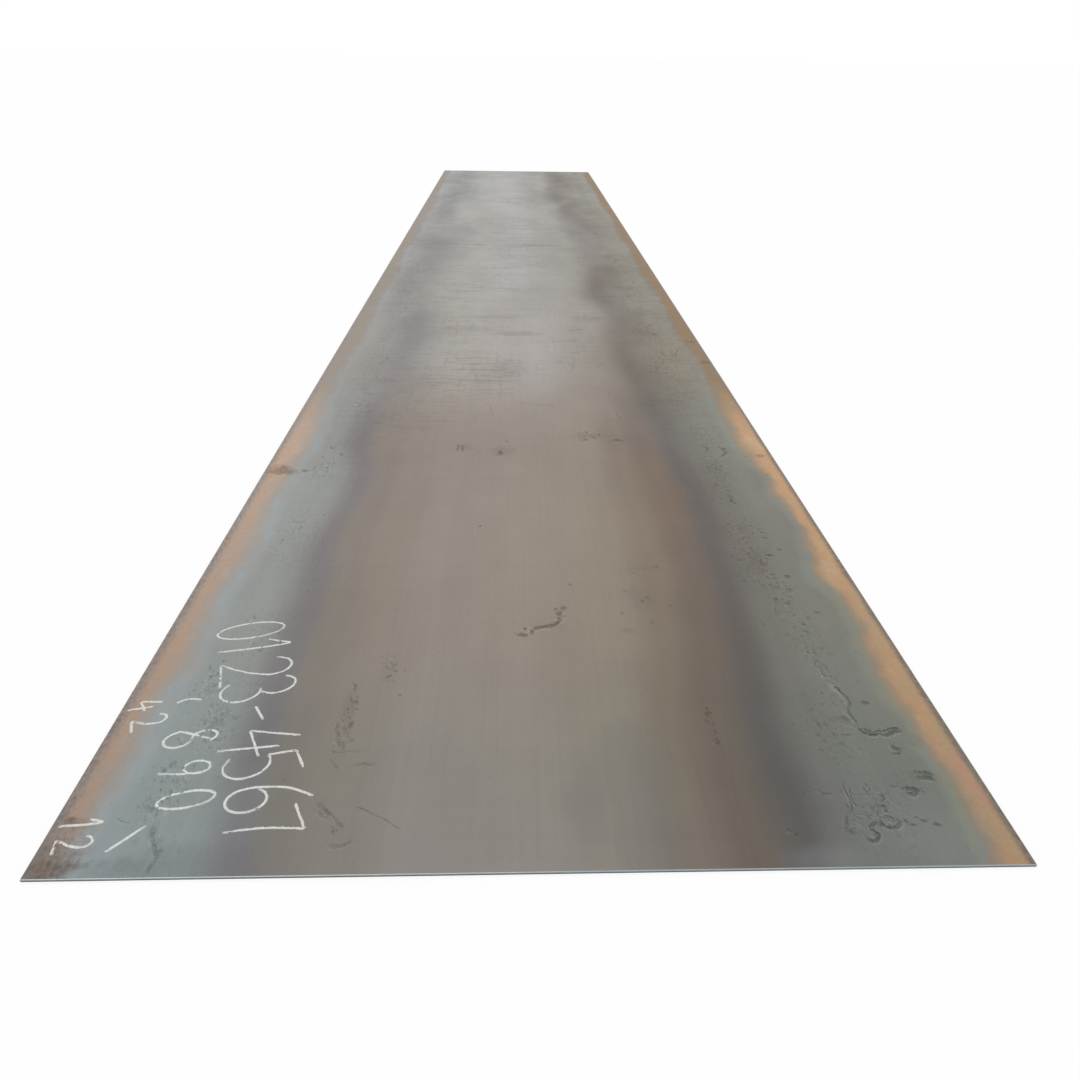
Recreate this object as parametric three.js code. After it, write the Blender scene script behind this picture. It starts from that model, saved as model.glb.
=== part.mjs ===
// A hot-rolled steel plate, cut to length from wide strip: rounded mill edges along both
// long sides, and guillotine-sheared ends. It is one rolled piece, so it is one mesh.
// Millimetres, +Z up. X runs across the plate and Y along it, the way it was rolled.
// The origin is the centre of the bottom face.
import * as THREE from "three";

// The plate
const WIDTH = 1500;
const LENGTH = 8480;
const THICKNESS = 5.5;

// Mill edge, alike on both sides: a flat middle between two rounded corners
const MILL_CORNER_HEIGHT = 1.7;
const MILL_CORNER_REACH = 1.2;

// Sheared end, from the face that the blade entered: the skin rolls over, the blade cuts
// an upright land, and the rest breaks off at a slope
const ROLLOVER_HEIGHT = 0.5;
const ROLLOVER_REACH = 0.9;
const LAND_HEIGHT = 1.9;
const BREAK_REACH = 0.45;

// How finely the round stretches are drawn
const ARC_STEPS = 6;
const SHORTEST_STEP = 0.01;

const STEEL = { color: 0x8b867d, roughness: 0.5, metalness: 0.6 };

// How far a rounded corner draws in, at a distance from the face that it ends on.
function cornerInset(distance, height, reach) {
  const left = Math.max(0, 1 - distance / height);
  return reach * (1 - Math.sqrt(1 - left * left));
}

// How far a mill edge draws in at a height in the plate.
function millInset(z) {
  const height = Math.min(MILL_CORNER_HEIGHT, THICKNESS / 2);
  return cornerInset(Math.min(z, THICKNESS - z), height, MILL_CORNER_REACH);
}

// How far a sheared end draws in at a depth below the face that the blade entered.
function shearInset(depth) {
  const breakStart = ROLLOVER_HEIGHT + LAND_HEIGHT;
  if (depth <= breakStart) {
    return cornerInset(depth, ROLLOVER_HEIGHT, ROLLOVER_REACH);
  }
  return (BREAK_REACH * (depth - breakStart)) / (THICKNESS - breakStart);
}

// The distances from its face at which a rounded corner is drawn, in even turns.
function cornerSteps(height) {
  const steps = [];
  for (let i = 0; i <= ARC_STEPS; i += 1) {
    const turn = (i / ARC_STEPS) * (Math.PI / 2);
    steps.push(height * (1 - Math.sin(turn)));
  }
  return steps;
}

// The heights at which either profile turns, from the bottom face to the top one.
function outlineHeights() {
  const turns = [
    ...cornerSteps(MILL_CORNER_HEIGHT),
    ...cornerSteps(ROLLOVER_HEIGHT),
    ROLLOVER_HEIGHT + LAND_HEIGHT,
  ];
  const both = turns.flatMap((height) => [height, THICKNESS - height]);
  both.sort((a, b) => a - b);
  const kept = [0];
  for (const z of both) {
    const isNew = z - kept.at(-1) > SHORTEST_STEP;
    const isInside = THICKNESS - z > SHORTEST_STEP;
    if (isNew && isInside) {
      kept.push(z);
    }
  }
  return [...kept, THICKNESS];
}

// The plate's outline at one height, anticlockwise from above. A blade enters the near
// end from the top and the far end from the bottom, as when a strip is cut to lengths:
// each stroke presses the piece in front of it down past the strip that stays on the table.
function outlineAt(z) {
  const side = WIDTH / 2 - millInset(z);
  const near = -LENGTH / 2 + shearInset(THICKNESS - z);
  const far = LENGTH / 2 - shearInset(z);
  return [
    [-side, near, z],
    [side, near, z],
    [side, far, z],
    [-side, far, z],
  ];
}

// A closed solid through outlines of equal count, stacked from the bottom up.
function loft(outlines) {
  const count = outlines[0].length;
  const faces = [];
  for (let level = 0; level < outlines.length - 1; level += 1) {
    const low = level * count;
    const high = low + count;
    for (let corner = 0; corner < count; corner += 1) {
      const next = (corner + 1) % count;
      faces.push(low + corner, low + next, high + next);
      faces.push(low + corner, high + next, high + corner);
    }
  }
  const top = (outlines.length - 1) * count;
  for (let corner = 1; corner < count - 1; corner += 1) {
    faces.push(0, corner + 1, corner);
    faces.push(top, top + corner, top + corner + 1);
  }
  const solid = new THREE.BufferGeometry();
  solid.setAttribute("position", new THREE.Float32BufferAttribute(outlines.flat(2), 3));
  solid.setIndex(faces);
  return solid;
}

function plate() {
  const solid = loft(outlineHeights().map(outlineAt)).toNonIndexed();
  solid.computeVertexNormals();
  const mesh = new THREE.Mesh(solid, new THREE.MeshStandardMaterial(STEEL));
  mesh.name = "plate";
  return mesh;
}

const part = new THREE.Group();
part.add(plate());

export default part;
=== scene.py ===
"""The looks of a hot-rolled steel plate: mill scale with its heat-tinted bands, rust along the
mill edges, sheared ends, flaws in the scale and chalked figures. Metres, +Z up, X across the
plate and Y along it, with the near end at the lowest Y. Tables of places are in millimetres.
"""

import math
import random
from types import SimpleNamespace

import bmesh
import bpy
from mathutils import Matrix, Vector


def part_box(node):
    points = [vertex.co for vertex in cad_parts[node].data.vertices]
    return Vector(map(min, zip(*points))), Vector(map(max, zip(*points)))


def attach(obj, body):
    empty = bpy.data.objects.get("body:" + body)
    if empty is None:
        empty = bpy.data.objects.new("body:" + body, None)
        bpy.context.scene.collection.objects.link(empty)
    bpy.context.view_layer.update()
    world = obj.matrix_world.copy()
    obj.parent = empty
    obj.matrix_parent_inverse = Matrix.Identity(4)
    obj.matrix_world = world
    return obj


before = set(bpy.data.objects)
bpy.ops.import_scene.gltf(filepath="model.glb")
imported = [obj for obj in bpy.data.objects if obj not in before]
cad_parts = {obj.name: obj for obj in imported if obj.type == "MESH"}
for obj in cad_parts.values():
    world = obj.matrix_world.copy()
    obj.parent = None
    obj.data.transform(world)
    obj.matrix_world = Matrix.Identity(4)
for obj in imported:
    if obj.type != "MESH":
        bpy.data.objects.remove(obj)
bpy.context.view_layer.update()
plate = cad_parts["plate"]
low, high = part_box("plate")
WIDTH = high.x - low.x
LENGTH = high.y - low.y
TOP = high.z


def metres(row):
    """The lengths in a row of a table, which are in millimetres."""
    return [length / 1000 for length in row]


def on_plate(x, from_near):
    """The point of the top face at x and that far from the near end."""
    return Vector((x, low.y + from_near, TOP))


def add_object(name, data):
    made = bpy.data.objects.new(name, data)
    bpy.context.scene.collection.objects.link(made)
    return made


# ---- camera ----

LENS_MM = 27.03
SENSOR_MM = 36.0
NEAREST_SEEN = 0.01
FARTHEST_SEEN = 5000.0
CAMERA_BEFORE_END = 0.775
CAMERA_ABOVE_FACE = 1.0319
CAMERA_RIGHT = -0.0352
PITCH_DOWN = math.radians(30.793)
YAW = math.radians(-2.134)
ROLL = math.radians(0.979)


def add_camera():
    """The eye of someone standing at the near end."""
    lens = bpy.data.cameras.new("camera")
    lens.lens = LENS_MM
    lens.sensor_width = SENSOR_MM
    lens.clip_start = NEAREST_SEEN
    lens.clip_end = FARTHEST_SEEN
    camera = add_object("camera", lens)
    turn = Matrix.Rotation(YAW, 4, "Z")
    turn @= Matrix.Rotation(math.pi / 2 - PITCH_DOWN, 4, "X")
    turn @= Matrix.Rotation(ROLL, 4, "Z")
    place = on_plate(CAMERA_RIGHT, -CAMERA_BEFORE_END) + Vector((0, 0, CAMERA_ABOVE_FACE))
    camera.matrix_world = Matrix.Translation(place) @ turn
    bpy.context.scene.camera = camera


# ---- node tree shorthand ----

# Where nearly all of a noise lies.
NOISE_SPAN = (0.25, 0.75)
# A blot is full out to this share of its ellipse.
BLOT_CORE = 0.25


def colour(code):
    """Linear RGBA of an sRGB colour that is written as six hex digits."""

    def channel(start):
        c = int(code[start : start + 2], 16) / 255
        return c / 12.92 if c <= 0.04045 else ((c + 0.055) / 1.055) ** 2.4

    return (channel(0), channel(2), channel(4), 1.0)


class Graph:
    """A node tree in the making. Each method adds a node or two and returns the output to use."""

    def __init__(self, tree):
        self.nodes = tree.nodes
        self.links = tree.links
        self.nodes.clear()

    def add(self, kind, inputs=None, **settings):
        node = self.nodes.new("ShaderNode" + kind)
        for name, value in settings.items():
            setattr(node, name, value)
        for key, value in (inputs or {}).items():
            if isinstance(value, bpy.types.NodeSocket):
                self.links.new(value, node.inputs[key])
            else:
                node.inputs[key].default_value = value
        return node

    def position(self):
        return self.add("TexCoord").outputs["Object"]

    def axes(self):
        return self.add("SeparateXYZ", {0: self.position()}).outputs

    def maths(self, operation, *values):
        return self.add("Math", dict(enumerate(values)), operation=operation).outputs[0]

    def chain(self, operation, first, *others):
        for value in others:
            first = self.maths(operation, first, value)
        return first

    def product(self, *values):
        return self.chain("MULTIPLY", *values)

    def total(self, *values):
        return self.chain("ADD", *values)

    def most(self, *values):
        return self.chain("MAXIMUM", *values)

    def remap(self, value, start, end, first=0.0, last=1.0, shape="SMOOTHSTEP", clamp=True):
        """first where the value is start, and last where it is end."""
        inputs = {"Value": value, "From Min": start, "From Max": end, "To Min": first, "To Max": last}
        return self.add("MapRange", inputs, interpolation_type=shape, clamp=clamp).outputs[0]

    def bell(self, value, centre, reach):
        """1 at the centre, falling smoothly to 0 at the reach on either side."""
        apart = self.maths("ABSOLUTE", self.maths("SUBTRACT", value, centre))
        return self.remap(apart, reach, 0.0)

    def curve(self, value, table):
        """A smooth curve through a table's rows of (value, result), with results from 0 to 1 m."""
        points = [metres(row) for row in table]
        start, span = points[0][0], points[-1][0] - points[0][0]
        share = self.remap(value, start, start + span, shape="LINEAR")
        node = self.add("FloatCurve", {"Value": share})
        line = node.mapping.curves[0]
        line.points[0].location = (0.0, points[0][1])
        line.points[1].location = (1.0, points[-1][1])
        for at, result in points[1:-1]:
            line.points.new((at - start) / span, result)
        node.mapping.update()
        return node.outputs[0]

    def ramp(self, value, stops, shape="EASE"):
        """Blends between (value, hex colour) stops."""
        start, span = stops[0][0], stops[-1][0] - stops[0][0]
        share = self.remap(value, start, start + span, shape="LINEAR")
        node = self.add("ValToRGB", {0: share})
        node.color_ramp.interpolation = shape
        elements = node.color_ramp.elements
        elements[0].position, elements[0].color = 0.0, colour(stops[0][1])
        elements[1].position, elements[1].color = 1.0, colour(stops[-1][1])
        for at, code in stops[1:-1]:
            elements.new((at - start) / span).color = colour(code)
        return node.outputs[0]

    def blend(self, factor, first, second, mode="MIX"):
        inputs = {0: factor, 6: first, 7: second}
        return self.add("Mix", inputs, data_type="RGBA", blend_type=mode).outputs[2]

    def between(self, factor, first, second):
        """The number that lies that share of the way from first to second."""
        return self.add("Mix", {0: factor, 2: first, 3: second}, data_type="FLOAT").outputs[0]

    def shade(self, tint, tone):
        """A colour made lighter or darker by a tone."""
        return self.add("VectorMath", {0: tint, "Scale": tone}, operation="SCALE").outputs[0]

    def noise(self, across, along, detail=2.0, seed=0.0, roughness=0.5, upright=180.0):
        """Noise about 0.5, with so many lumps to the metre across, along and up the plate."""
        shift = (seed, 3 * seed, 5 * seed)
        inputs = {0: self.position(), "Scale": (across, along, upright), "Location": shift}
        place = self.add("Mapping", inputs).outputs[0]
        inputs = {"Vector": place, "Scale": 1.0, "Detail": detail, "Roughness": roughness}
        return self.add("TexNoise", inputs).outputs[0]

    def stray(self, value, amount, middle=0.0):
        """A number that a noise moves by up to the amount either side of the middle."""
        ends = middle - amount, middle + amount
        return self.remap(value, *NOISE_SPAN, *ends, shape="LINEAR", clamp=False)

    def swing(self, value, amount):
        """A tone about 1, which a noise moves likewise."""
        return self.stray(value, amount, 1.0)

    def seen(self):
        """1 to the camera, in reflections and through glass, and 0 to all other light."""
        paths = self.add("LightPath").outputs
        return self.most(paths["Is Camera Ray"], paths["Is Glossy Ray"], paths["Is Transmission Ray"])

    def blot(self, x, from_near, across, along, share, fray):
        """A share inside an ellipse on the face, falling to 0 at its rim, which fray moves."""
        place = on_plate(x, from_near)
        inputs = {
            0: self.position(),
            1: (1 / across, 1 / along, 0.0),
            2: (-place[0] / across, -place[1] / along, 0.0),
        }
        local = self.add("VectorMath", inputs, operation="MULTIPLY_ADD").outputs[0]
        out = self.add("VectorMath", {0: local}, operation="LENGTH").outputs["Value"]
        return self.remap(self.maths("ADD", out, fray), 1.0, BLOT_CORE, 0.0, share)

    def surface(self, tint, roughness, metal, specular, height):
        """The tree's shader, with a bump whose height is in millimetres."""
        bump = self.add("Bump", {"Height": height, "Strength": 1.0, "Distance": 0.001})
        inputs = {
            "Base Color": tint,
            "Roughness": roughness,
            "Metallic": metal,
            "Specular IOR Level": specular,
            "Normal": bump.outputs[0],
        }
        shader = self.add("BsdfPrincipled", inputs).outputs[0]
        self.links.new(shader, self.add("OutputMaterial").inputs[0])


def new_material(name):
    material = bpy.data.materials.new(name)
    material.use_nodes = True
    return material, Graph(material.node_tree)


# ---- mill scale: the palette ----

# Oxide colours across the face, by X in metres.
FACE_TINTS = (
    (-0.65, "949b9c"), (-0.56, "8d9391"), (-0.47, "767375"), (-0.41, "807972"), (-0.33, "888077"),
    (-0.20, "8f8780"), (0.00, "91887f"), (0.19, "8c8377"), (0.30, "7b6f62"), (0.37, "6b5f54"),
    (0.45, "5a5552"), (0.53, "6e6d67"), (0.60, "757770"),
)
# The same in the far part.
FAR_TINTS = (
    (-0.65, "8a8682"), (-0.46, "7f7a77"), (-0.24, "99948d"), (0.02, "9c9692"), (0.25, "8c847b"),
    (0.43, "5a4e3d"), (0.60, "766e5d"),
)
# Metres from the near end between which the far part's traits set in.
FAR_FACE = (1.55, 2.35)
# The far rust's darker tint, which is in part painted shade, sets in over this span.
FAR_RUST_AND_SHADE = (1.55, 2.2)
FAR_SMUDGES = (1.0, 2.4)
FAR_WASHES = (2.3, 3.4)
# Painted shade and hue along the plate, darker at the near end and about 1.5 m from it:
# (metres from the near end, what multiplies the colour).
SHADE_AND_HUE_ALONG = (
    (0.0, "eff5f9"), (0.2, "eef4f4"), (0.5, "f8f7f4"), (1.0, "fcf7f2"), (1.5, "f4ede7"), (2.35, "ffffff"),
    (4.0, "f8fdff"), (8.48, "f1f9fe"),
)
# Where the dark borders run, in millimetres: (from the near end, from the centre line). X is shifted
# so that each lies at its one place in the colours above.
LEFT_BORDER_AT = -0.47
LEFT_BORDER = (
    (0, 455), (300, 485), (550, 485), (800, 500), (1050, 487), (1250, 462), (1600, 500), (2100, 490),
    (2600, 500), (3000, 520), (3400, 560), (4000, 540), (4600, 510), (5100, 440), (5500, 520),
    (6000, 550), (6600, 530), (7300, 490), (8000, 510), (8480, 500),
)
RIGHT_BORDER_AT = 0.45
RIGHT_BORDER = (
    (0, 400), (200, 405), (400, 415), (600, 430), (800, 452), (1100, 460), (1350, 447), (1700, 450),
    (2200, 445), (2600, 460), (3000, 470), (3400, 440), (3800, 450), (4600, 460), (5100, 440),
    (5700, 430), (6200, 410), (6800, 370), (7500, 400), (8480, 430),
)
BORDER_WAVER = 0.022
# The two shifts blend this near the centre line.
BORDERS_MEET = 0.3
# Where the rust has half faded, in millimetres: (from the near end, from the plate's edge).
LEFT_RUST = (
    (0, 40), (120, 52), (200, 62), (300, 56), (500, 65), (700, 62), (850, 76), (1050, 68), (1300, 68),
    (1500, 80), (1800, 70), (2200, 55), (2700, 75), (3200, 55), (3800, 70), (4400, 50), (5000, 72),
    (5600, 55), (6300, 78), (7000, 55), (8480, 62),
)
RIGHT_RUST = (
    (0, 58), (150, 50), (280, 52), (400, 66), (520, 60), (680, 47), (800, 69), (900, 55), (1050, 44),
    (1200, 55), (1300, 46), (1420, 74), (1600, 72), (2000, 65), (2300, 45), (2700, 65), (3200, 48),
    (3800, 70), (4400, 50), (5000, 66), (5600, 46), (6300, 68), (7100, 52), (7800, 66), (8480, 55),
)
# Each side's rust: its tints, the temper colours along its inner side, its darker tint in the far part,
# which is in part painted shade, and the dull strip along the very edge. Its tone rises, out of painted
# shade at the near end, to RUST_FULL_TONE at RUST_FULL_FROM.
LEFT_BAND = SimpleNamespace(
    widths=LEFT_RUST,
    tints=((0.30, "bf9d8a"), (0.44, "b29b8a"), (0.56, "b69a86"), (0.70, "b5a48f")),
    temper=((0.32, "96a4ae"), (0.44, "959ea0"), (0.56, "9c9792"), (0.68, "9494a0")),
    far_shaded_tint="8d8477",
    strip=((0.40, "857a74"), (0.60, "9a9088")),
    strip_width=0.026,
    near_shade_tone=0.72,
)
RIGHT_BAND = SimpleNamespace(
    widths=RIGHT_RUST,
    tints=((0.30, "c69679"), (0.42, "ba9b75"), (0.52, "be9570"), (0.64, "b89c79"), (0.74, "c49c80")),
    temper=((0.32, "74868a"), (0.44, "84876f"), (0.56, "7f8480"), (0.68, "8a7d80")),
    far_shaded_tint="806648",
    strip=((0.40, "776b60"), (0.60, "8c7c6c")),
    strip_width=0.018,
    near_shade_tone=0.77,
)
RUST_FULL_FROM = 1.5
RUST_FULL_TONE = 1.06
# In widths of the rust: where it covers nothing and all, and the temper colours' middle and reach.
RUST_FADE = (1.42, 0.5)
TEMPER_BELL = (1.35, 0.5)
# The strip is full at this distance from the plate's edge.
STRIP_FULL = 0.004


def border_course(g, x, from_near):
    """X as it would be if both dark borders ran straight."""
    left = g.maths("SUBTRACT", g.product(g.curve(from_near, LEFT_BORDER), -1.0), LEFT_BORDER_AT)
    right = g.maths("SUBTRACT", g.curve(from_near, RIGHT_BORDER), RIGHT_BORDER_AT)
    shift = g.between(g.remap(x, -BORDERS_MEET, BORDERS_MEET), left, right)
    waver = g.stray(g.noise(5, 2.2, 3.0, 1.3), BORDER_WAVER)
    return g.total(g.maths("SUBTRACT", x, shift), waver)


def face_colour(g, x, from_near):
    """The oxide's colour, before rust and marks."""
    course = border_course(g, x, from_near)
    far = g.remap(from_near, *FAR_FACE)
    tint = g.blend(far, g.ramp(course, FACE_TINTS), g.ramp(course, FAR_TINTS))
    warmth = g.remap(g.noise(2.2, 0.9, 2.0, 4.1), 0.35, 0.65)
    return g.blend(g.product(warmth, 0.5), tint, colour("fbf6f0"), mode="MULTIPLY")


def shaded_along(g, tint, from_near):
    """A colour with the painted shade and hue that it has that far along the plate."""
    return g.blend(1.0, tint, g.ramp(from_near, SHADE_AND_HUE_ALONG, shape="LINEAR"), mode="MULTIPLY")


def face_tone(g, from_near):
    """Streaks along the rolling direction, chatter across it, patches and grain. The far part also
    has strokes of darker scale, gathered here and there: smudges, dashes, drawn lines and washes."""
    bands = g.swing(g.noise(14, 0.5, 2.0, 2.1), 0.03)
    streaks = g.swing(g.noise(170, 1.6, 2.0, 3.3), 0.028)
    chatter = g.swing(g.noise(1.6, 30, 2.0, 5.2), 0.018)
    patches = g.swing(g.noise(7, 5, 5.0, 6.4, 0.62), 0.05)
    grain = g.swing(g.noise(620, 420, 2.0, 8.8), 0.05)
    smudges = g.remap(g.noise(5, 34, 4.0, 9.7, 0.7), 0.50, 0.66, 1.02, 0.78)
    dashes = g.remap(g.noise(20, 56, 3.0, 9.2, 0.65), 0.53, 0.65, 1.01, 0.76)
    drawn = g.remap(g.noise(60, 6, 3.0, 9.4, 0.65), 0.52, 0.64, 1.01, 0.88)
    gathered = g.remap(g.noise(1.6, 1.3, 3.0, 10.4), 0.40, 0.60, 0.2, 1.0)
    gathered = g.product(gathered, g.remap(from_near, *FAR_SMUDGES))
    strokes = g.between(gathered, 1.0, g.product(smudges, dashes, drawn))
    washes = g.remap(g.noise(2.2, 13, 5.0, 9.9, 0.74), 0.50, 0.63, 1.03, 0.78)
    washes = g.between(g.product(gathered, g.remap(from_near, *FAR_WASHES)), 1.0, washes)
    return g.product(bands, streaks, chatter, patches, grain, strokes, washes)


# ---- rust along the edges ----


def add_rust(g, tint, x, from_near):
    """Rust over the oxide. Returns the colour and how much rust covers it."""
    lobes = g.stray(g.noise(7, 9, 3.0, 11.2), 0.012)
    feather = g.stray(g.noise(40, 22, 4.0, 12.5, 0.65), 0.008)
    mottle = g.noise(20, 8, 4.0, 13.7, 0.66)
    hue = g.noise(15, 6, 3.0, 14.6, 0.6)
    specks = g.noise(150, 80, 4.0, 15.2, 0.7)
    far = g.remap(from_near, *FAR_RUST_AND_SHADE)
    worn = g.between(far, 1.0, g.remap(g.noise(34, 9, 4.0, 16.4, 0.65), 0.36, 0.60, 0.5, 1.0))
    covers = []
    for band, side in ((LEFT_BAND, 1.0), (RIGHT_BAND, -1.0)):
        from_edge = g.maths("ADD", g.product(x, side), WIDTH / 2)
        reach = g.maths("DIVIDE", g.total(from_edge, lobes, feather), g.curve(from_near, band.widths))
        cover = g.product(g.remap(reach, *RUST_FADE), g.remap(mottle, 0.3, 0.6, 0.80, 1.0), worn)
        # Further along, the rust darkens to a tint that is in part painted shade.
        shade = g.blend(g.product(far, 0.85), g.ramp(mottle, band.tints), colour(band.far_shaded_tint))
        strip = g.remap(g.total(from_edge, g.product(lobes, 0.3)), band.strip_width, STRIP_FULL)
        shade = g.blend(strip, shade, g.ramp(specks, band.strip))
        # The rust is painted darker towards the near end, as shade.
        tone = g.remap(from_near, 0.0, RUST_FULL_FROM, band.near_shade_tone, RUST_FULL_TONE, shape="LINEAR")
        shade = g.shade(shade, g.product(g.swing(specks, 0.10), tone))
        rim = g.product(g.bell(reach, *TEMPER_BELL), g.maths("SUBTRACT", 0.5, g.product(far, 0.4)))
        tint = g.blend(rim, tint, g.ramp(hue, band.temper))
        tint = g.blend(cover, tint, shade)
        covers.append(cover)
    return tint, g.most(*covers)


# ---- dirt and stains on the face ----

# Stains, painted shade and painted sheen: (x, from the near end, half extent across and along, per cent
# of its colour).
CORNER = ((-730, 35, 70, 100, 95),)
# Painted shade along the near end, and darker cool clouds in the oxide elsewhere.
NEAR_SHADE_AND_CLOUDS = (
    (-560, 15, 150, 45, 20), (-530, 30, 70, 40, 22), (165, 150, 80, 450, 20), (-460, 2600, 100, 600, 34),
    (80, 110, 60, 150, 20),
)
WARMTH = ((380, 1230, 85, 400, 42),)
# Painted sheen: paler, bluer patches by the near end.
SHEEN = ((-470, 120, 60, 140, 7), (620, 60, 90, 110, 6), (430, 15, 90, 45, 12))
DIRT = (
    (-745, 20, 60, 70, 42), (-712, 15, 60, 42, 80), (-705, 100, 26, 18, 25), (-620, 12, 130, 30, 14),
    (40, 600, 40, 12, 22), (190, 1600, 65, 40, 30), (282, 1566, 34, 18, 40), (-70, 1485, 50, 50, 34),
    (-190, 1510, 45, 35, 26), (270, 820, 55, 14, 20), (205, 583, 26, 12, 24), (245, 700, 55, 60, 15),
    (322, 250, 14, 150, 20), (-338, 350, 18, 100, 18), (-592, 82, 12, 26, 32), (-579, 56, 12, 22, 26),
    (-606, 22, 40, 20, 24), (-335, 300, 14, 32, 20), (-292, 216, 34, 8, 18), (-345, 128, 12, 18, 18),
    (-316, 86, 16, 20, 18), (-280, 460, 18, 40, 12), (674, 262, 22, 30, 20), (-568, 310, 16, 60, 16),
    (556, 312, 28, 22, 24), (548, 1360, 34, 70, 20), (542, 860, 46, 70, 15), (-250, 2780, 180, 60, 30),
    (-10, 2700, 150, 48, 38), (-140, 2960, 200, 44, 26), (-60, 2250, 100, 160, 26), (300, 2950, 120, 120, 24),
    (130, 4620, 260, 40, 50), (-430, 5150, 160, 200, 34), (-50, 6350, 160, 80, 24), (80, 7500, 300, 45, 30),
    (450, 3300, 90, 1500, 22), (450, 4800, 100, 800, 66), (400, 6500, 120, 1300, 42),
    (350, 7800, 110, 700, 42), (722, 2330, 30, 30, 62), (712, 2600, 34, 22, 55),
)
BROKEN = (
    (648, 177, 26, 16, 26), (670, 172, 18, 14, 20), (622, 146, 24, 12, 30), (600, 280, 20, 12, 20),
    (645, 284, 24, 10, 20), (636, 238, 18, 14, 16), (556, 112, 16, 26, 16), (620, 356, 11, 9, 26),
    (580, 880, 22, 12, 16), (-569, 44, 9, 18, 34), (-572, 14, 7, 18, 24), (-610, 66, 10, 12, 14),
    (-640, 26, 14, 12, 22), (-612, 125, 26, 30, 12),
)
RUSTY = (
    (-727, 107, 14, 11, 70), (-706, 1350, 50, 44, 66), (-676, 1340, 44, 26, 56), (712, 1452, 22, 14, 55),
    (700, 1320, 14, 12, 35),
)


def add_stains(g, tint):
    """Painted shade along the near end and darker clouds in the oxide, painted sheen, a warmer cloud,
    then smears of dirt, broken scale and rust.
    """
    cloudy = g.stray(g.noise(8, 6, 3.0, 23.0), 0.30), 1.0
    mottle = g.remap(g.noise(170, 130, 4.0, 21.0, 0.65), 0.36, 0.62, 0.6, 1.0)
    smeary = g.stray(g.noise(45, 45, 4.0, 22.0), 0.35), mottle
    for stains, code, (fray, broken) in (
        (NEAR_SHADE_AND_CLOUDS, "5b6064", cloudy),
        (SHEEN, "a8b0b4", cloudy),
        (WARMTH, "765f4a", cloudy),
        (CORNER, "817972", smeary),
        (DIRT, "584c42", smeary),
        (BROKEN, "4f534c", smeary),
        (RUSTY, "6a4e36", smeary),
    ):
        cover = g.most(*(g.blot(*metres(place), share / 100, fray) for *place, share in stains))
        tint = g.blend(g.product(cover, broken), tint, colour(code))
    return tint


# The strips of lifted scale: their middle, from the centre line, its waver, and their reach.
SCABS_AT = 0.555
SCABS_WAVER = 0.03
SCABS_REACH = 0.12


def scabs(g, x):
    """Lifted and pitted scale in a strip inside each margin: its cover from 0 to 1."""
    waver = g.stray(g.noise(0.01, 2.4, 2.0, 31.0), SCABS_WAVER)
    course = g.maths("SUBTRACT", g.maths("ABSOLUTE", x), g.total(waver, SCABS_AT))
    strip = g.bell(course, 0.0, SCABS_REACH)
    side = g.remap(x, -0.1, 0.1, 0.8, 1.0)
    broken = g.remap(g.noise(120, 75, 4.0, 33.0, 0.65), 0.48, 0.64)
    here = g.remap(g.noise(9, 5, 2.0, 35.0), 0.40, 0.56, 0.25, 1.0)
    return g.product(strip, side, broken, here)


# ---- ends and mill edges ----

# How far in the ends' and the mill edges' own finish reaches.
END_DEPTH = 0.0009
EDGE_DEPTH = 0.0011
# Where the rollover and the land end, from the face that the blade came in by.
ROLLOVER = 0.0005
LAND = 0.0024
# How far the land's lower rim wavers, and where it turns into the break.
RIM_WAVER = 0.0004
LAND_RIM = (LAND - 0.0001, LAND + 0.0002)
LAND_ROUGHNESS = 0.36
BREAK_ROUGHNESS = 0.7


def end_finish(g, y, z):
    """A sheared end's colour and roughness: the rollover, painted lighter as a highlight, and the burnished
    land, then the torn break. The near end's blade came from above and the far end's from below."""
    from_tool = g.between(g.maths("GREATER_THAN", y, 0.0), g.maths("SUBTRACT", TOP, z), z)
    drag = g.swing(g.noise(1900, 1900, 2.0, 41.0, upright=90.0), 0.12)
    torn = g.swing(g.noise(1500, 1500, 3.0, 43.0, upright=1500.0), 0.3)
    waver = g.stray(g.noise(120, 120, 3.0, 44.0, upright=20.0), RIM_WAVER)
    broken = g.remap(g.total(from_tool, waver), *LAND_RIM)
    # The rollover is painted lighter towards the face, a highlight along the edge.
    worn = g.remap(from_tool, ROLLOVER, 0.0)
    land = g.blend(worn, colour("8d969b"), colour("a9b2b6"))
    dull = g.blend(g.remap(g.noise(60, 60, 3.0, 45.0), 0.45, 0.7), colour("5b6165"), colour("655a52"))
    tint = g.blend(broken, g.shade(land, drag), g.shade(dull, torn))
    return tint, g.between(broken, LAND_ROUGHNESS, BREAK_ROUGHNESS)


def edge_colour(g):
    """The rounded mill edge: brown scale with rust in it."""
    rusty = g.remap(g.noise(45, 18, 4.0, 51.0), 0.42, 0.62)
    tint = g.blend(rusty, colour("5f564f"), colour("84664c"))
    return g.shade(tint, g.swing(g.noise(700, 300, 3.0, 52.0), 0.15))


# ---- the material ----

CRUST_ROUGHNESS = 0.68
RUST_ROUGHNESS = 0.78
SCALE_METAL = 0.35
END_METAL = 0.75
# The rust's crumbly surface sets in between these distances from the centre line.
CRUMBLY = (0.66, 0.71)


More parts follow.
